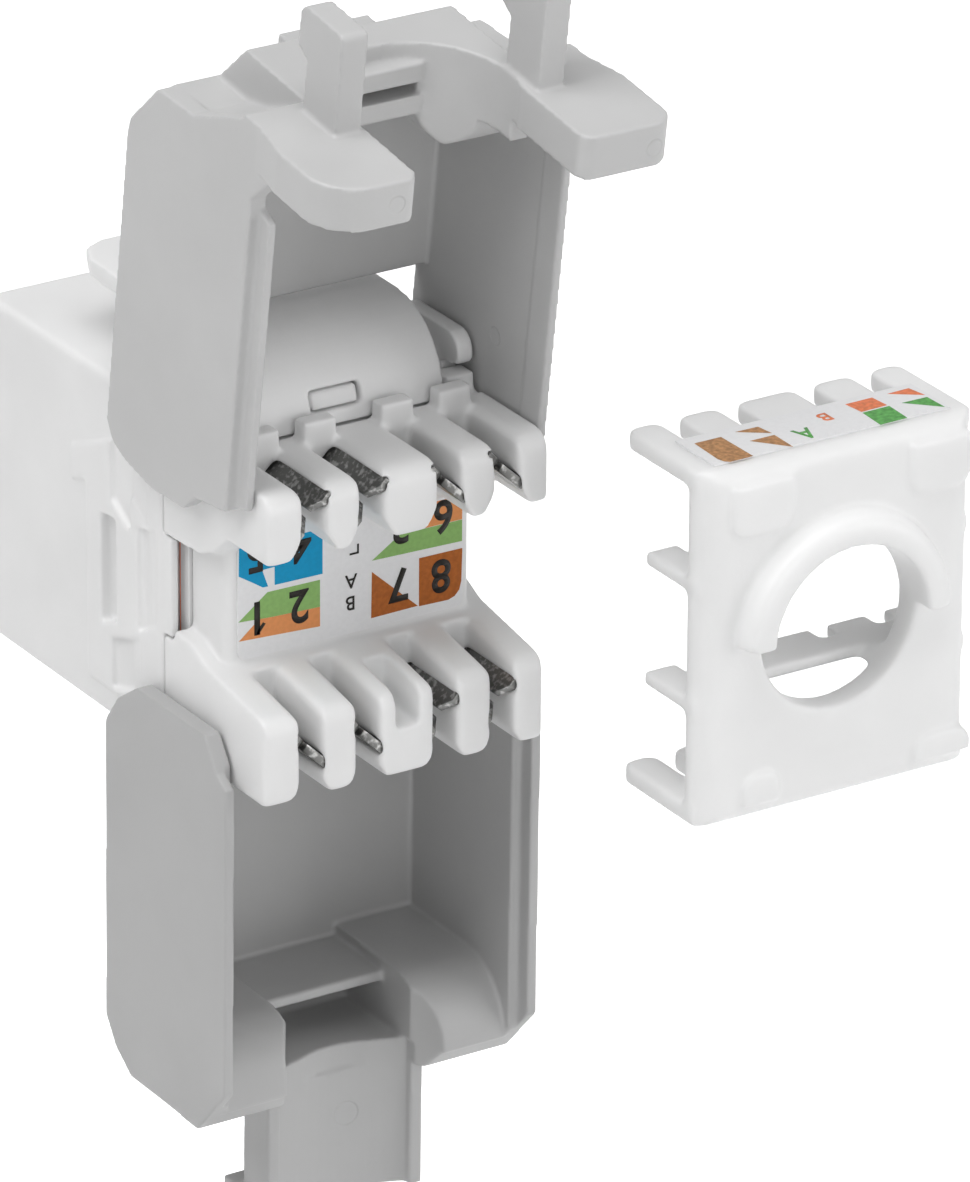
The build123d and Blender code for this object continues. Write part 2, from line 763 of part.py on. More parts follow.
# Upper shell, swung up, with the two arms and posts for the cable tie.
with BuildPart() as upper_shell:
    frame = shell_frame(upper_lean, upper_hinge_depth, upper_hinge_length, True)
    wall = [
        (0, 0.9),
        (0.62, 0.03),
        (1.86, -0.35),
        (4.16, -0.53),
        (6.99, -0.1),
        (8.05, 1.0),
        (upper_rim, 1.7),
        (upper_rim, 17.8),
        (12.2, arm_low),
        (12.2, arm_high),
        (10.1, arm_high),
        (5.4, 19.4),
        (2.3, 19.2),
        (1.5, 18.2),
        (0.2, 16.7),
        (0, 15.9),
    ]
    for w in (wall_in, -shell_half):
        shell_side(
            frame, wall, w, w + shell_wall,
            rounds=(((0.62, 0.03), 0.8), ((1.86, -0.35), 3.0), ((0, 15.9), 0.6), ((2.3, 19.2), 0.8)),
        )
    back = [
        (0, 6.0),
        (back_wall, 6.0),
        (back_wall, 16.4),
        (2.3, 18.1),
        (2.3, 19.15),
        (1.5, 18.2),
        (0.2, 16.7),
        (0, 15.9),
    ]
    shell_side(frame, back, -wall_in, wall_in)
    # Shoulders beside the raised middle.
    for side in (-1, 1):
        shoulder = [
            (side * 4.8, 2.3),
            (side * (wall_in + 0.1), 2.3),
            (side * (wall_in + 0.1), upper_rim - 0.2),
            (side * 4.8, upper_rim - 0.2),
        ]
        shell_deck(frame, shoulder, 18.1, 19.25)
        ramp = [(5.3, 19.0), (10.2, 21.55), (upper_rim, 21.55), (upper_rim, 19.0)]
        w0 = min(side * 5.2, side * (wall_in + 0.1))
        w1 = max(side * 5.2, side * (wall_in + 0.1))
        shell_side(frame, ramp, w0, w1)
    # Raised middle over the cable, hollow below.
    middle = [(2.2, 18.3), (2.2, 19.0), (4.5, arm_high), (11.5, arm_high), (11.5, 18.3)]
    shell_side(frame, middle, -5.4, 5.4)
    hollow = [(3.2, 18.2), (3.2, 18.9), (5.0, arm_high - 1.0), (12, arm_high - 1.0), (12, 18.2)]
    shell_side(frame, hollow, -2.3, 2.3, mode=Mode.SUBTRACT)
    # Bosses that guide the cable.
    boss = [(back_wall - 0.1, boss_low), (9.3, boss_low), (9.3, 20.6), (back_wall + 1.4, 18.4)]
    for w in (2.2, -wall_in - 0.1):
        shell_side(frame, boss, w, w + wall_in - 2.1, rounds=(((9.3, boss_low), 2.6),))
    # The bosses' lower inner edges are well rounded.
    edges = [(2.2, boss_low, 1, 1), (-2.2, boss_low, -1, 1)]
    rounding = corner_pieces(shell_front(frame, 9.5), edges, 2.2)
    extrude(rounding, amount=9.5 - back_wall, mode=Mode.SUBTRACT)
    # Arms. The one on the -X side is squarer and stands out a little farther.
    for side, out, corner in ((1, near_arm_out, near_arm_corner), (-1, far_arm_out, far_arm_corner)):
        arm = [
            (side * 3.9, 9.6),
            (side * shell_half, 9.6),
            (side * shell_half, 10.8),
            (side * out, 13.2),
            (side * out, arm_end),
            (side * arm_inner, arm_end),
            (side * arm_inner, 10.9),
        ]
        shell_deck(
            frame, arm, arm_low, arm_high,
            rounds=(((side * out, arm_end), corner), ((side * arm_inner, arm_end), 0.7)),
        )
    # The round cable passage and the ribs that grip the jacket.
    shell_hole(frame, upper_cable_depth, cable_r, 14.5, 22.5)
    for low in (19.7, 18.05):
        grip = [(2.3, low), (7.3, low), (7.3, low + 1.0), (2.3, low + 1.0)]
        shell_side(frame, grip, -2.35, 2.35)
    # Posts with a lip outwards.
    for side in (-1, 1):
        post = [
            (post_back, arm_high - 0.3),
            (post_front, arm_high - 0.3),
            (post_front, post_top),
            (post_back - 0.8, post_top),
            (post_back - 0.8, post_top - 2.1),
            (post_back, post_top - 2.5),
        ]
        w0 = min(side * post_inner, side * post_outer)
        w1 = max(side * post_inner, side * post_outer)
        shell_side(
            frame, post, w0, w1,
            rounds=(((post_back - 0.8, post_top), 0.6), ((post_front, post_top), 0.35)),
        )
    # The lip inside the rim.
    lip = [
        (upper_rim - 0.8, 1.7),
        (upper_rim + lip_rise, 2.0),
        (upper_rim + lip_rise, lip_end),
        (upper_rim - 0.8, lip_end + 0.6),
    ]
    for w in (lip_inner, -lip_outer):
        shell_side(frame, lip, w, w + lip_outer - lip_inner)
    # Hinge pins on the inside of the walls.
    for w in (wall_in - pin_length, -wall_in - 0.3):
        with BuildSketch(frame.offset(w)):
            with Locations((upper_hinge_depth, upper_hinge_length)):
                Circle(pin_r)
        extrude(amount=pin_length + 0.3)

# Lower shell, hanging down, with the trough that carries the cable.
with BuildPart() as lower_shell:
    frame = shell_frame(lower_lean, lower_hinge_depth, lower_hinge_length, False)
    wall = [
        (0, back_wall),
        (back_wall, -0.4),
        (2.9, -1.65),
        (9.0, -1.75),
        (lower_notch_depth, -0.2),
        (lower_rim, 0.35),
        (lower_rim, 16.0),
        (lower_slope_depth, lower_far),
        (2.3, lower_far),
        (0.9, 17.8),
        (0, lower_back_end),
    ]
    for w in (wall_in, -shell_half):
        shell_side(frame, wall, w, w + shell_wall)
    back = [
        (0, 2.25),
        (back_wall, 2.25),
        (back_wall, lower_back_end + 0.1),
        (2.3, lower_far_in),
        (2.3, lower_far),
        (0.9, 17.8),
        (0, lower_back_end),
    ]
    shell_side(frame, back, -wall_in, wall_in)
    end = [
        (1.9, lower_far_in),
        (lower_slope_depth + 1.0, lower_far_in),
        (lower_slope_depth, lower_far),
        (1.9, lower_far),
    ]
    shell_side(frame, end, -wall_in, wall_in)
    # Guide blocks in both far corners and the ledge between them.
    guide = [(back_wall - 0.1, 14.3), (9.6, 14.3), (9.6, 17.7), (back_wall - 0.1, 17.7)]
    for w in (3.4, -wall_in - 0.1):
        shell_side(frame, guide, w, w + wall_in - 3.3, rounds=(((9.6, 14.3), 3.2),))
    ledge = [(back_wall - 0.1, 14.85), (5.5, 14.85), (5.5, 15.4), (back_wall - 0.1, 15.4)]
    shell_side(frame, ledge, -3.5, 3.5)
    # Trough with a shallow round floor and an end lip on its outer side.
    channel = [
        (-trough_half, trough_low),
        (trough_half, trough_low),
        (trough_half, trough_high),
        (-trough_half, trough_high),
    ]
    shell_deck(frame, channel, 18.0, trough_end)
    end_lip = [
        (-trough_half - 0.35, trough_low - 1.2),
        (trough_half + 0.35, trough_low - 1.2),
        (trough_half + 0.35, trough_low + 0.6),
        (trough_half, trough_low + 1.0),
        (-trough_half, trough_low + 1.0),
        (-trough_half - 0.35, trough_low + 0.6),
    ]
    shell_deck(frame, end_lip, trough_end - 1.2, trough_end)
    with BuildSketch(shell_level(frame, 17.5)):
        with Locations((0, trough_low + 1.05 + trough_round)):
            Circle(trough_round)
        with Locations((0, trough_low + 1.05 + trough_round)):
            Rectangle(2 * trough_half - 1.4, 40, mode=Mode.INTERSECT)
    extrude(amount=trough_end - 17.0, mode=Mode.SUBTRACT)
    shell_hole(frame, lower_cable_depth, cable_r, 13.5, 18.9)
    # The rabbet that takes the lip of the upper shell.
    rabbet = [
        (lower_rim - rabbet_depth, -1.0),
        (lower_rim + 1, -1.0),
        (lower_rim + 1, lip_end + 0.2),
        (lower_rim - rabbet_depth, lip_end + 0.2),
    ]
    rabbet_width = lip_outer + rabbet_play - wall_in
    for w in (wall_in, -wall_in - rabbet_width):
        shell_side(frame, rabbet, w, w + rabbet_width, mode=Mode.SUBTRACT)
    for w in (wall_in - pin_length, -wall_in - 0.3):
        with BuildSketch(frame.offset(w)):
            with Locations((lower_hinge_depth, lower_hinge_length)):
                Circle(pin_r)
        extrude(amount=pin_length + 0.3)

# Wire cap: a front plate with a cable collar and four combs for the wires.
with BuildPart() as wire_cap:
    top = cap_z + cap_inner_half_height
    low = cap_z - cap_inner_half_height
    plate_back = cap_y - cap_plate
    plate = [
        (plate_back, low - cap_comb),
        (cap_y, low - cap_comb),
        (cap_y, top + cap_comb),
        (plate_back, top + cap_comb),
    ]
    side_slab(
        plate, cap_x - cap_half, cap_x + cap_half,
        rounds=[((cap_y, z), cap_edge) for z in (low - cap_comb, top + cap_comb)],
    )
    ends = [(cap_x + side * cap_half, cap_y, -side, -1) for side in (-1, 1)]
    cutters = corner_pieces(Plane.XY.offset(low - cap_comb - 1), ends, cap_side_corner)
    extrude(cutters, amount=top - low + 2 * cap_comb + 2, mode=Mode.SUBTRACT)
    # The outer combs have rounded teeth, and the fins between them are square.
    comb_levels = (
        (top, top + cap_comb, cap_back),
        (low - cap_comb, low, cap_back),
        (cap_z + 2.7, cap_z + 3.4, cap_fin_back),
        (cap_z - 3.25, cap_z - 2.55, cap_fin_back),
    )
    half = comb_slot / 2
    for z0, z1, back_y in comb_levels:
        limits = [cap_half, comb_outer + half, comb_outer - half, comb_inner + half,
                  comb_inner - half, -comb_inner + half, -comb_inner - half,
                  -comb_outer + half, -comb_outer - half, -cap_half]
        for i in range(0, len(limits), 2):
            right = cap_x + limits[i]
            left = cap_x + limits[i + 1]
            tooth_shape = [
                (right, cap_y - 0.6),
                (right, cap_y + back_y),
                (left, cap_y + back_y),
                (left, cap_y - 0.6),
            ]
            tips = () if back_y == cap_fin_back else (right, left)
            flat_slab(
                tooth_shape, z0, z1,
                rounds=[((x, cap_y + back_y), tooth_round) for x in tips],
            )
        block(cap_x - cap_half, cap_x + cap_half, cap_y + cap_slot_floor + 0.2, cap_y - 0.9, z0, z1)
    # Collar round the upper half of the cable hole, turned about the hole's middle.
    collar = [
        (cap_hole_r - 0.1, cap_y - 0.2),
        (cap_collar_r + 0.25, cap_y - 0.2),
        (cap_collar_r, cap_y + cap_collar_rise),
        (cap_hole_r - 0.1, cap_y + cap_collar_rise),
    ]
    middle = Plane(origin=(cap_x, 0, cap_z), x_dir=(1, 0, 0), z_dir=(0, 0, 1))
    ring = outline(middle, collar, rounds=(((cap_collar_r, cap_y + cap_collar_rise), 0.7),))
    revolve(ring, axis=Axis((cap_x, 0, cap_z), (0, -1, 0)), revolution_arc=180)
    rearward_rod(cap_x, cap_z, cap_hole_r, cap_y - 2.2, cap_y + 3, Mode.SUBTRACT)
    # Low pads in the four corners of the plate, rounded towards the middle.
    for x0, x1, z0, z1 in (
        (2.7, 6.0, 5.45, 8.0), (-7.0, -3.7, 5.45, 8.0),
        (3.2, 5.2, -8.0, -6.45), (-7.3, -4.2, -8.0, -6.75),
    ):
        near = z0 if z0 > 0 else z1
        pad = [
            (cap_x + x0, cap_z + z0), (cap_x + x1, cap_z + z0),
            (cap_x + x1, cap_z + z1), (cap_x + x0, cap_z + z1),
        ]
        front_slab(
            pad, cap_y - 0.4, cap_y + 0.3,
            rounds=(((cap_x + x0, cap_z + near), 0.8), ((cap_x + x1, cap_z + near), 0.8)),
        )

# Printed label on top of the wire cap.
with BuildPart() as wire_cap_label:
    label_z = cap_z + cap_inner_half_height + cap_comb
    block(
        cap_x - cap_label_half, cap_x + cap_label_half,
        cap_y + cap_label_back, cap_y + cap_label_front,
        label_z, label_z + label_thick,
    )

front_housing.part.label = "front_housing"
contact_carrier.part.label = "contact_carrier"
circuit_board.part.label = "circuit_board"
idc_block.part.label = "idc_block"
block_label.part.label = "block_label"
upper_shell.part.label = "upper_shell"
lower_shell.part.label = "lower_shell"
wire_cap.part.label = "wire_cap"
wire_cap_label.part.label = "wire_cap_label"

export_step(front_housing.part, "parts/front_housing.step")
export_step(contact_carrier.part, "parts/contact_carrier.step")
export_step(circuit_board.part, "parts/circuit_board.step")
export_step(idc_block.part, "parts/idc_block.step")
export_step(block_label.part, "parts/block_label.step")
export_step(upper_shell.part, "parts/upper_shell.step")
export_step(lower_shell.part, "parts/lower_shell.step")
export_step(wire_cap.part, "parts/wire_cap.step")
export_step(wire_cap_label.part, "parts/wire_cap_label.step")
for contact in idc_contacts:
    export_step(contact, f"parts/{contact.label}.step")
for contact in port_contacts:
    export_step(contact, f"parts/{contact.label}.step")
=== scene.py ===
# %% [markdown]
# # A keystone jack, dressed for its picture
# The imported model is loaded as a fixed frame. Its solids stay where they are,
# and every new piece is made around them, in metres, in the same frame.
# The port looks along -Y, the cable comes in from +Y and +Z is up.

# %% Load the frame
import math
import bpy
from mathutils import Matrix, Vector


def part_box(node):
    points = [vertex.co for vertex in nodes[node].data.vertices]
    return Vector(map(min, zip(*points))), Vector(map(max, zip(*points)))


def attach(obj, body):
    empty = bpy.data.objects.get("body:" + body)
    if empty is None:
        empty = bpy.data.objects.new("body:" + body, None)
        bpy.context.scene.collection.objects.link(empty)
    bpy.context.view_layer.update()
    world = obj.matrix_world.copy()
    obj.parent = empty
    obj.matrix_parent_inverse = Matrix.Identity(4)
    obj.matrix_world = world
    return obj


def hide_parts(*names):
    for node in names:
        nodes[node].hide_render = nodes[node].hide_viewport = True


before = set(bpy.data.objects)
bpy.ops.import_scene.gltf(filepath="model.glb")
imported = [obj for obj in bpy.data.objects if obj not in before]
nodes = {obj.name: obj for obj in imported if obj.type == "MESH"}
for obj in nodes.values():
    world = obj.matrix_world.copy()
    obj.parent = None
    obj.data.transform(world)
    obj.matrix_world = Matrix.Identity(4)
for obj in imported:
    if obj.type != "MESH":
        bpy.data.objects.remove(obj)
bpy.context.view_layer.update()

MM = 0.001
print("nodes:", len(nodes))

# %% [markdown]
# ## The plastics
# Moulded plastic is never one flat colour. The tool leaves a fine spark grain,
# thick places are a touch whiter, and handling polishes it unevenly. All three
# come from noise on Object coordinates, so they sit still on the piece. A scanned
# picture of plastic could do this too, but noise needs no picture and never repeats.
# A little light goes into the plastic and comes out again, which softens its shadows.
# The cap is a milkier white than the jack. The lower shell's grey is darker than the upper's
# as painted shade for the lesser light it gets. The mould's ejector pins leave faint round marks on the
# shells.

# %% Helpers for noise patterns
def new_material(name):
    mat = bpy.data.materials.new(name)
    mat.use_nodes = True
    return mat, mat.node_tree, mat.node_tree.nodes["Principled BSDF"]


def noise(tree, scale, detail, stretch=(1, 1, 1)):
    place = tree.nodes.new("ShaderNodeTexCoord")
    fit = tree.nodes.new("ShaderNodeMapping")
    fit.inputs["Scale"].default_value = stretch
    cloud = tree.nodes.new("ShaderNodeTexNoise")
    cloud.inputs["Scale"].default_value = scale
    cloud.inputs["Detail"].default_value = detail
    tree.links.new(place.outputs["Object"], fit.inputs["Vector"])
    tree.links.new(fit.outputs["Vector"], cloud.inputs["Vector"])
    return cloud.outputs["Fac"]


def shade_between(tree, value, dark, light, start=0.35, end=0.65):
    ramp = tree.nodes.new("ShaderNodeValToRGB")
    low, high = ramp.color_ramp.elements
    low.position, high.position = start, end
    low.color = list(dark) + [1]
    high.color = list(light) + [1]
    tree.links.new(value, ramp.inputs["Fac"])
    return ramp.outputs["Color"]


def vary(tree, value, low, high):
    spread = tree.nodes.new("ShaderNodeMapRange")
    spread.inputs["To Min"].default_value = low
    spread.inputs["To Max"].default_value = high
    tree.links.new(value, spread.inputs["Value"])
    return spread.outputs["Result"]


def bump(tree, height, depth, strength=0.35):
    skin = tree.nodes.new("ShaderNodeBump")
    skin.inputs["Strength"].default_value = strength
    skin.inputs["Distance"].default_value = depth
    tree.links.new(height, skin.inputs["Height"])
    return skin


# %% Helpers for moulded plastic
PIN_EDGE = 0.05   # mm over which the rim of a mark steps down
PIN_DEPTH = 16.0  # how many times deeper a mark is than the grain


def pin_marks(tree, grain, marks):
    # Each mark is a shallow disc with a soft step round it, measured from a point on the face.
    height = grain
    place = tree.nodes.new("ShaderNodeTexCoord")
    for x, y, z, radius in marks:
        away = tree.nodes.new("ShaderNodeVectorMath")
        away.operation = "DISTANCE"
        tree.links.new(place.outputs["Object"], away.inputs[0])
        away.inputs[1].default_value = (x * MM, y * MM, z * MM)
        step = tree.nodes.new("ShaderNodeMapRange")
        step.interpolation_type = "SMOOTHSTEP"
        step.inputs["From Min"].default_value = (radius - PIN_EDGE) * MM
        step.inputs["From Max"].default_value = (radius + PIN_EDGE) * MM
        step.inputs["To Max"].default_value = PIN_DEPTH
        tree.links.new(away.outputs["Value"], step.inputs["Value"])
        total = tree.nodes.new("ShaderNodeMath")
        tree.links.new(height, total.inputs[0])
        tree.links.new(step.outputs["Result"], total.inputs[1])
        height = total.outputs[0]
    return height


def moulded_plastic(name, colour, roughness, grain_depth, glow, marks=(), reach=0.8):
    # Glow is the share of light that goes in, and reach is how many mm it travels.
    mat, tree, shader = new_material(name)
    dark = [c * 0.972 for c in colour]
    light = [min(1, c * 1.018) for c in colour]
    tree.links.new(shade_between(tree, noise(tree, 140, 3), dark, light), shader.inputs["Base Color"])
    polish = vary(tree, noise(tree, 420, 4), roughness - 0.06, roughness + 0.06)
    tree.links.new(polish, shader.inputs["Roughness"])
    skin = bump(tree, pin_marks(tree, noise(tree, 5200, 2), marks), grain_depth)
    tree.links.new(skin.outputs["Normal"], shader.inputs["Normal"])
    shader.inputs["IOR"].default_value = 1.49
    shader.inputs["Subsurface Weight"].default_value = glow
    shader.inputs["Subsurface Radius"].default_value = [reach * MM] * 3
    shader.inputs["Subsurface Scale"].default_value = 1.0
    print("plastic:", name)
    return mat


# %% Four plastics
upper_marks = [(5.39, 33.88, 24.32, 0.42), (-8.02, 33.86, 24.23, 0.42), (-7.6, 21.33, 10.83, 0.44)]
lower_marks = [(-0.75, 19.45, -28.0, 0.62)]
white_plastic = moulded_plastic("white_moulding", (0.84, 0.84, 0.84), 0.42, 0.000012, 0.10)
milky_plastic = moulded_plastic("white_cap_moulding", (0.87, 0.87, 0.87), 0.40, 0.00001, 0.55, reach=1.6)
grey_plastic = moulded_plastic("grey_moulding", (0.55, 0.55, 0.55), 0.46, 0.000014, 0.04, upper_marks)
# The lower shell has the same grey made darker, as painted shade for the lesser light that reaches it.
grey_plastic_with_painted_shade = moulded_plastic(
    "grey_moulding_painted_shade_lower", (0.44, 0.44, 0.44), 0.46, 0.000014, 0.04, lower_marks)

# %% [markdown]
# ## The metals
# The fork contacts are stamped from sheet and tin plated. Their faces are a dark
# dull grey with bright worn spots. The port wires are gold over nickel. One helper
# makes both, because a plating differs only in its two tones and its roughness.

# %% A helper for plated metal
def plated_metal(name, dull, bright, roughness, along, sparkle):
    mat, tree, shader = new_material(name)
    lines = noise(tree, 900, 4, along)
    worn = noise(tree, 3800, 5)
    base = shade_between(tree, worn, dull, bright, sparkle, sparkle + 0.16)
    tree.links.new(base, shader.inputs["Base Color"])
    tree.links.new(vary(tree, lines, roughness - 0.08, roughness + 0.10), shader.inputs["Roughness"])
    skin = bump(tree, worn, 0.000012, 0.3)
    tree.links.new(skin.outputs["Normal"], shader.inputs["Normal"])
    shader.inputs["Metallic"].default_value = 1
    print("metal:", name)
    return mat


tin_plate = plated_metal("tin_plate", (0.16, 0.16, 0.155), (0.44, 0.44, 0.43), 0.36, (1, 0.12, 1), 0.50)
gold_plate = plated_metal("gold_plate", (0.78, 0.56, 0.22), (0.86, 0.66, 0.30), 0.24, (1, 0.1, 1), 0.5)

# %% [markdown]
# ## The circuit board and the label stock
# Only a thin reddish line of the board's core shows in the seam, and the rest of its
# edge is lacquered white. The labels are white film with a faint fibre in it.

# %% Board and film
def laminate(name, core, coat, front, line):
    # The core shows as a thin line along the board's front edge, and a white coat covers the rest.
    mat, tree, shader = new_material(name)
    layers = noise(tree, 300, 3, (0.2, 24, 0.2))
    bare = shade_between(tree, layers, [c * 0.75 for c in core], [min(1, c * 1.2) for c in core])
    place = tree.nodes.new("ShaderNodeTexCoord")
    split = tree.nodes.new("ShaderNodeSeparateXYZ")
    tree.links.new(place.outputs["Object"], split.inputs["Vector"])
    covered = tree.nodes.new("ShaderNodeMapRange")
    covered.inputs["From Min"].default_value = front + line
    covered.inputs["From Max"].default_value = front + line * 1.25
    tree.links.new(split.outputs["Y"], covered.inputs["Value"])
    mixed = tree.nodes.new("ShaderNodeMix")
    mixed.data_type = "RGBA"
    tree.links.new(covered.outputs["Result"], mixed.inputs["Factor"])
    tree.links.new(bare, mixed.inputs["A"])
    mixed.inputs["B"].default_value = list(coat) + [1]
    tree.links.new(mixed.outputs["Result"], shader.inputs["Base Color"])
    tree.links.new(vary(tree, layers, 0.42, 0.6), shader.inputs["Roughness"])
    skin = bump(tree, layers, 0.00001, 0.2)
    tree.links.new(skin.outputs["Normal"], shader.inputs["Normal"])
    return mat


def film(name, colour, speck, gloss=0.5):
    mat, tree, shader = new_material(name)
    dots = noise(tree, 4200, 3)
    dark = [c * (1 - speck) for c in colour]
    light = [min(1, c * (1 + speck * 0.5)) for c in colour]
    tree.links.new(shade_between(tree, dots, dark, light), shader.inputs["Base Color"])
    tree.links.new(vary(tree, noise(tree, 600, 2), gloss - 0.05, gloss + 0.05), shader.inputs["Roughness"])
    skin = bump(tree, dots, 0.000006, 0.2)
    tree.links.new(skin.outputs["Normal"], shader.inputs["Normal"])
    shader.inputs["Specular IOR Level"].default_value = 0.2
    return mat


board_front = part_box("circuit_board")[0].y
board_finish = laminate("board_laminate", (0.75, 0.22, 0.12), (0.80, 0.80, 0.80), board_front, 0.10 * MM)
label_film = film("label_film", (0.85, 0.85, 0.86), 0.02, 0.4)
print("board and film ready")

# %% [markdown]
# ## Softened mouldings
# A moulding tool never leaves a knife edge, and the tower block is rounded all over
# like a bar of soap. Each moulding is copied, its loose triangles are merged, and it
# is read as a closed volume in cells of a tenth of a millimetre. A few smoothing
# passes then round its edges, more passes for the softer piece. The copy keeps the
# solid's form and stands for it. A bevel on every edge is the usual way, but here
# the edges run so close together that it leaves slivers.

# %% Helpers that soften a copy of a node
def merged_copy(name):
    bpy.ops.object.select_all(action="DESELECT")
    nodes[name].select_set(True)
    bpy.context.view_layer.objects.active = nodes[name]
    bpy.ops.object.duplicate()
    piece = bpy.context.object
    piece.name = name + "_soft"
    bpy.ops.object.mode_set(mode="EDIT")
    bpy.ops.mesh.select_mode(type="VERT")
    bpy.ops.mesh.select_all(action="SELECT")
    bpy.ops.mesh.remove_doubles(threshold=0.002 * MM)
    bpy.ops.object.mode_set(mode="OBJECT")
    return piece


def apply_modifier(piece, kind, **settings):
    bpy.ops.object.modifier_add(type=kind)
    modifier = piece.modifiers[-1]
    for key, value in settings.items():
        setattr(modifier, key, value)
    bpy.ops.object.modifier_apply(modifier=modifier.name)


def stand_for(piece, name, body, finish):
    piece.data.materials.clear()
    piece.data.materials.append(finish)
    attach(piece, body)
    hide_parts(name)
    print(piece.name, len(piece.data.polygons), "faces")


def soften_moulding(name, body, finish, cell, passes, kept):
    piece = merged_copy(name)
    apply_modifier(piece, "REMESH", mode="VOXEL", voxel_size=cell, adaptivity=0)
    apply_modifier(piece, "SMOOTH", factor=0.5, iterations=passes)
    apply_modifier(piece, "DECIMATE", ratio=kept)
    bpy.ops.object.shade_smooth()
    stand_for(piece, name, body, finish)


def soften_stamping(name, body, finish, width):
    # A stamped sheet has crisp edges, so it only gets a narrow bevel.
    piece = merged_copy(name)
    bpy.ops.object.mode_set(mode="EDIT")
    bpy.ops.mesh.select_all(action="SELECT")
    bpy.ops.mesh.dissolve_limited(angle_limit=math.radians(0.6))
    bpy.ops.object.mode_set(mode="OBJECT")
    apply_modifier(piece, "BEVEL", limit_method="ANGLE", width=width, segments=2)
    bpy.ops.object.shade_smooth_by_angle(angle=math.radians(48))
    apply_modifier(piece, "WEIGHTED_NORMAL", keep_sharp=True)
    stand_for(piece, name, body, finish)


# %% Soften the plastic and the forks
# Node, body, slot, finish, cell in mm, smoothing passes and the share of triangles kept.
mouldings = [
    ("front_housing", "jack", "white_plastic", white_plastic, 0.11, 5, 0.35),
    ("idc_block", "jack", "white_plastic", white_plastic, 0.10, 26, 0.35),
    ("wire_cap", "jack", "white_plastic", milky_plastic, 0.11, 24, 0.4),
    ("upper_shell", "upper_cover", "grey_plastic", grey_plastic, 0.11, 3, 0.4),
    ("lower_shell", "lower_cover", "grey_plastic", grey_plastic_with_painted_shade, 0.11, 3, 0.4),
]
for name, body, slot, finish, cell, passes, kept in mouldings:
    soften_moulding(name, body, finish, cell * MM, passes, kept)
forks = [f"idc_contact_{number}" for number in range(1, 9)]
for name in forks:
    soften_stamping(name, "jack", tin_plate, 0.04 * MM)
print("softened nodes:", len(mouldings) + len(forks))

# %% Trim the board's side edges
# In the photograph the board ends level with the block's neck, so only its edge line shows.
board = merged_copy("circuit_board")
neck_side = 6.6 * MM
for vertex in board.data.vertices:
    if abs(vertex.co.x) > neck_side:
        vertex.co.x = math.copysign(neck_side, vertex.co.x)
bpy.ops.object.mode_set(mode="EDIT")
bpy.ops.mesh.select_all(action="SELECT")
bpy.ops.mesh.remove_doubles(threshold=0.002 * MM)
bpy.ops.mesh.dissolve_limited(angle_limit=math.radians(0.6))
bpy.ops.object.mode_set(mode="OBJECT")
apply_modifier(board, "BEVEL", limit_method="ANGLE", width=0.04 * MM, segments=2)
stand_for(board, "circuit_board", "jack", board_finish)

# %% Dress the solids
finishes = {
    "contact_carrier": white_plastic,
    "circuit_board": board_finish,
    "block_label": label_film,
    "wire_cap_label": label_film,
}
finishes.update({name: finish for name, _, _, finish, _, _, _ in mouldings})
finishes.update({name: tin_plate for name in forks})
finishes.update({f"port_contact_{number}": gold_plate for number in range(1, 9)})
for name, finish in finishes.items():
    nodes[name].data.materials.clear()
    nodes[name].data.materials.append(finish)
print("finished nodes:", len(finishes))

# %% [markdown]
# ## The printed labels
# The neck label shows which wire goes in which slot, by colour and number, and it
# stands upside down. Each ink is one thin mesh a hair in front of the film. Flat
# fields start as a disc whose corners are moved, and numbers start as text. A picture
# laid on the label could do the same, but meshes stay sharp at any distance.

# %% Inks
INK_THICK = 0.006 * MM
INK_FRONT = 1.6 * INK_THICK
TEXT_SIZE_PER_HEIGHT = 1.38
inks = {
    "blue": film("ink_blue", (0.0, 0.30, 0.56), 0.05, 0.4),
    "green": film("ink_green", (0.27, 0.48, 0.15), 0.07, 0.4),
    "orange": film("ink_orange", (0.79, 0.31, 0.11), 0.06, 0.4),
    "brown": film("ink_brown", (0.45, 0.13, 0.025), 0.14, 0.4),
    "black": film("ink_black", (0.022, 0.019, 0.016), 0.2, 0.4),
    "white": film("ink_white", (0.85, 0.85, 0.86), 0.02, 0.4),
    "cap_brown": film("cap_ink_brown", (0.47, 0.24, 0.10), 0.35, 0.5),
    "cap_orange": film("cap_ink_orange", (0.80, 0.23, 0.10), 0.18, 0.5),
    "cap_green": film("cap_ink_green", (0.11, 0.38, 0.09), 0.30, 0.5),
}
print("inks:", len(inks))


# %% Helpers that print a flat field and a word
def field(points):
    bpy.ops.object.select_all(action="DESELECT")
    bpy.ops.mesh.primitive_circle_add(vertices=len(points), radius=0.001, fill_type="NGON")
    piece = bpy.context.object
    for vertex, (across, up) in zip(piece.data.vertices, points):
        vertex.co = (across * MM, up * MM, 0)
    return piece


def word(text, across, up, tall, wide=1.0, heavy=0.0):
    bpy.ops.object.select_all(action="DESELECT")
    bpy.ops.object.text_add()
    piece = bpy.context.object
    piece.data.body = text
    piece.data.align_x = "CENTER"
    piece.data.align_y = "CENTER"
    piece.data.size = tall * TEXT_SIZE_PER_HEIGHT * MM
    piece.data.offset = heavy * MM
    bpy.ops.object.convert(target="MESH")
    flat = bpy.context.object
    corners = [vertex.co for vertex in flat.data.vertices]
    middle = [(min(c[i] for c in corners) + max(c[i] for c in corners)) / 2 for i in (0, 1)]
    for vertex in flat.data.vertices:
        vertex.co.x = (vertex.co.x - middle[0]) * wide + across * MM
        vertex.co.y = vertex.co.y - middle[1] + up * MM
    return flat


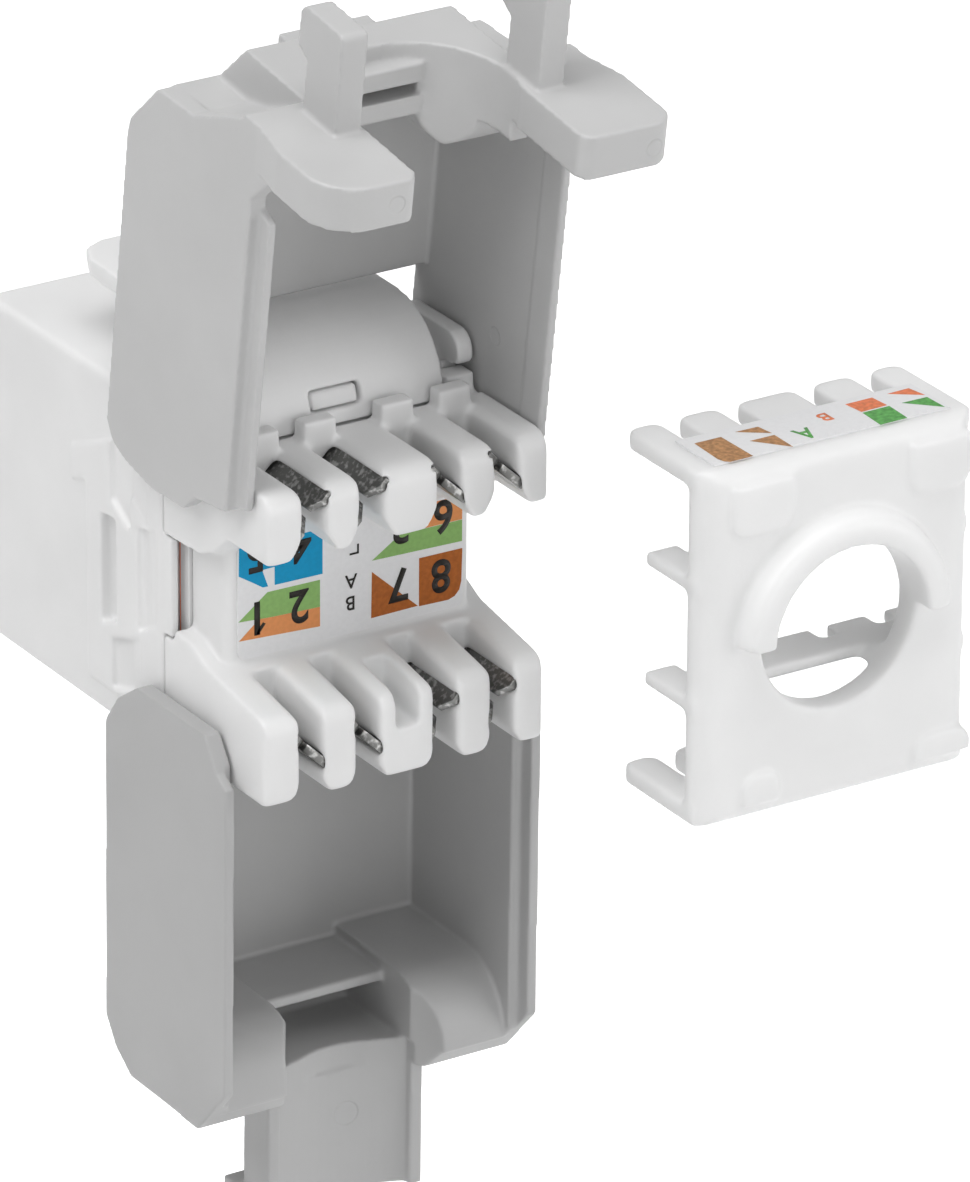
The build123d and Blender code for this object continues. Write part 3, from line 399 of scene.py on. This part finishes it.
def press(name, flats, place, ink):
    # Joins the flat shapes, lays them on the label and gives them a thickness.
    bpy.ops.object.select_all(action="DESELECT")
    for flat in flats:
        flat.select_set(True)
    bpy.context.view_layer.objects.active = flats[0]
    if len(flats) > 1:
        bpy.ops.object.join()
    piece = bpy.context.object
    piece.name = name
    piece.data.transform(place)
    bpy.ops.object.mode_set(mode="EDIT")
    bpy.ops.mesh.select_mode(type="VERT")
    bpy.ops.mesh.select_all(action="SELECT")
    bpy.ops.mesh.remove_doubles(threshold=0.0005 * MM)
    bpy.ops.object.mode_set(mode="OBJECT")
    outward = place.to_3x3() @ Vector((0, 0, 1))
    for face in piece.data.polygons:
        if face.normal.dot(outward) < 0:
            face.flip()
    bpy.ops.object.modifier_add(type="SOLIDIFY")
    piece.modifiers[-1].thickness = INK_THICK
    piece.modifiers[-1].offset = -1
    bpy.ops.object.modifier_apply(modifier=piece.modifiers[-1].name)
    piece.data.materials.clear()
    piece.data.materials.append(ink)
    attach(piece, "jack")
    return piece


# %% The neck label
neck_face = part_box("block_label")[1].y
upside_down = Matrix((
    (1, 0, 0, 0),
    (0, 0, 1, neck_face + INK_FRONT),
    (0, -1, 0, 0),
    (0, 0, 0, 1),
))


def neck_field(*points):
    # Points are (x, z) of the jack in mm, and the label hangs upside down.
    return field([(x, -z) for x, z in points])


neck_prints = {
    "blue": [
        neck_field((5.95, 3.24), (1.52, 3.24), (1.52, 0.98), (4.07, 1.01), (4.07, 1.92), (4.73, 1.9),
                   (4.42, 1.02), (4.7, 1.03), (5.28, 1.42), (5.97, 1.86)),
    ],
    "green": [
        neck_field((1.66, 0.71), (4.45, 0.74), (6.0, -0.42), (4.9, -0.5), (4.2, -0.55), (1.66, -0.64)),
        neck_field((-1.12, 1.02), (-2.62, 1.98), (-5.98, 1.98), (-5.98, 0.9)),
    ],
    "orange": [
        neck_field((1.66, -0.645), (4.2, -0.555), (4.9, -0.505), (5.98, -1.38), (1.66, -1.62)),
        neck_field((-2.66, 2.0), (-4.5, 3.2), (-5.98, 3.2), (-5.98, 2.0)),
    ],
    "brown": [
        neck_field((-1.12, 0.46), (-3.6, -1.82), (-1.08, -1.86)),
        neck_field((-3.66, 0.56), (-6.0, 0.54), (-5.95, -1.1), (-5.84, -1.52), (-5.6, -1.78),
                   (-5.25, -1.9), (-3.66, -1.86)),
    ],
}
for colour, flats in neck_prints.items():
    press(f"neck_print_{colour}", flats, upside_down, inks[colour])

# The black ink lies on the coloured inks.
above = upside_down.copy()
above.translation.y += 1.2 * INK_THICK
digits = [
    ("1", 5.01, -0.45), ("2", 2.78, -0.38), ("7", -2.53, -0.52), ("8", -4.85, -0.61),
    ("3", -2.68, 2.35), ("6", -4.95, 2.34), ("4", 2.67, 2.63), ("5", 5.05, 2.68),
]
neck_words = [word(text, x, -z, 1.66, 0.95, 0.05) for text, x, z in digits]
# The 1 has a short flag, and only the corner of one letter shows below its tower.
neck_words.append(field([(5.08, 1.27), (4.94, 1.27), (4.56, 0.80), (4.70, 0.70), (4.94, 0.98)]))
neck_words.append(field([(-0.32, -2.05), (-0.42, -2.05), (-0.42, -1.56), (-0.32, -1.56)]))
neck_words.append(field([(-0.42, -1.56), (-0.42, -1.66), (0.08, -1.66), (0.08, -1.56)]))
neck_words.append(word("A", 0.0, -0.24, 0.72, 0.95, 0.01))
neck_words.append(word("B", 0.05, 0.85, 0.72, 0.95, 0.01))
press("neck_print_black", neck_words, above, inks["black"])
print("neck label printed")

# %% The cap label
cap_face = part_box("wire_cap_label")[1].z
flat_on = Matrix.Translation((0, 0, cap_face + INK_FRONT))
cap_prints = {
    "cap_brown": [
        field([(-10.86, 33.07), (-12.29, 33.07), (-12.34, 35.64), (-11.1, 35.66), (-10.9, 35.5),
               (-10.78, 35.1)]),
        field([(-13.15, 32.93), (-14.36, 32.96), (-14.5, 33.9)]),
        field([(-13.15, 34.13), (-14.48, 34.13), (-14.46, 35.7)]),
    ],
    "cap_orange": [
        field([(-19.18, 32.86), (-20.66, 32.84), (-20.76, 33.92), (-19.32, 33.97)]),
        field([(-21.5, 32.84), (-22.7, 32.8), (-22.9, 33.84)]),
        word("B", -17.55, 33.6, 0.86, 0.95, 0.02),
    ],
    "cap_green": [
        field([(-19.3, 34.08), (-20.79, 34.05), (-20.72, 35.62), (-19.22, 35.65)]),
        field([(-21.48, 34.06), (-22.84, 34.08), (-22.89, 35.46)]),
        word("A", -15.77, 34.72, 1.16, 0.8, 0.03),
    ],
}
for colour, flats in cap_prints.items():
    press(colour.replace("cap_", "cap_print_"), flats, flat_on, inks[colour])
print("cap label printed")

# %% [markdown]
# ## Camera
# The camera was solved from the photograph, so the picture overlays it. A long lens
# far away keeps the jack's parallel edges almost parallel, as they are in the photograph.

# %% Camera
turn, lift, roll = math.radians(32.122), math.radians(24.106), math.radians(-0.333)
back = Vector((math.sin(turn) * math.cos(lift), math.cos(turn) * math.cos(lift), math.sin(lift)))
right = Vector((-math.cos(turn), math.sin(turn), 0))
up = back.cross(right)
tilted_right = right * math.cos(roll) - up * math.sin(roll)
tilted_up = right * math.sin(roll) + up * math.cos(roll)
middle = Vector((0, 0.016, 0))
SHIFT_RIGHT, SHIFT_DOWN, DISTANCE = 0.008868, 0.002016, 0.468805
spot = middle + tilted_right * SHIFT_RIGHT - tilted_up * SHIFT_DOWN + back * DISTANCE
bpy.ops.object.camera_add(location=spot)
camera = bpy.context.object
camera.matrix_world = Matrix((
    (tilted_right.x, tilted_up.x, back.x, spot.x),
    (tilted_right.y, tilted_up.y, back.y, spot.y),
    (tilted_right.z, tilted_up.z, back.z, spot.z),
    (0, 0, 0, 1),
))
camera.data.sensor_fit = "HORIZONTAL"
camera.data.sensor_width = 36
camera.data.lens = 376.63
camera.data.clip_start = 0.01
bpy.context.scene.camera = camera
print("camera at", [round(c, 4) for c in spot])

# %% [markdown]
# ## Studio
# A pale even sky fills the shadows only a little, so the cavities stay dark. Five
# soft boxes do the rest. The one overhead gives the tops their light, and the walls
# that face the camera's right stay darker. The sky and the floor look white to the
# camera and in reflections, but light the jack no more for it.

# %% World and lamps
def seen_by(tree, *kinds):
    # One for rays of the kinds named, and zero for the rest.
    paths = tree.nodes.new("ShaderNodeLightPath")
    value = paths.outputs[kinds[0]]
    for kind in kinds[1:]:
        largest = tree.nodes.new("ShaderNodeMath")
        largest.operation = "MAXIMUM"
        tree.links.new(value, largest.inputs[0])
        tree.links.new(paths.outputs[kind], largest.inputs[1])
        value = largest.outputs[0]
    return value


SKY_FILL = 0.075
world = bpy.data.worlds.new("studio")
bpy.context.scene.world = world
world.use_nodes = True
tree = world.node_tree
sky = tree.nodes["Background"]
seen = seen_by(tree, "Is Camera Ray", "Is Glossy Ray", "Is Transmission Ray")
tree.links.new(vary(tree, seen, SKY_FILL, 1.0), sky.inputs["Strength"])
sky.inputs["Color"].default_value = (1, 1, 1, 1)


def soft_lamp(name, place, size, power):
    bpy.ops.object.light_add(type="AREA", location=place)
    lamp = bpy.context.object
    lamp.name = name
    lamp.data.shape = "SQUARE"
    lamp.data.size = size
    lamp.data.energy = power
    lamp.rotation_euler = (middle - Vector(place)).to_track_quat("-Z", "Y").to_euler()
    print("lamp:", name)


soft_lamp("overhead", (0.05, 0.10, 0.45), 0.35, 1.05)
soft_lamp("high_left", (0.30, 0.0, 0.35), 0.30, 0.95)
soft_lamp("left_box", (0.45, 0.15, 0.10), 0.35, 0.15)
soft_lamp("camera_side", (0.10, 0.50, 0.15), 0.30, 0.50)
soft_lamp("right_box", (-0.35, 0.35, 0.10), 0.30, 0.72)

# %% Floor
FLOOR_LIFT = 0.8
bpy.ops.mesh.primitive_plane_add(size=6, location=(0, 0, -0.055))
floor = bpy.context.object
floor.name = "floor"
floor_paint, tree, paint = new_material("floor_paint")
paint.inputs["Base Color"].default_value = (0.88, 0.88, 0.88, 1)
paint.inputs["Roughness"].default_value = 0.9
paint.inputs["Emission Color"].default_value = (1, 1, 1, 1)
seen = seen_by(tree, "Is Camera Ray", "Is Glossy Ray")
tree.links.new(vary(tree, seen, 0.0, FLOOR_LIFT), paint.inputs["Emission Strength"])
floor.data.materials.append(floor_paint)

bpy.context.scene.view_settings.view_transform = "Standard"
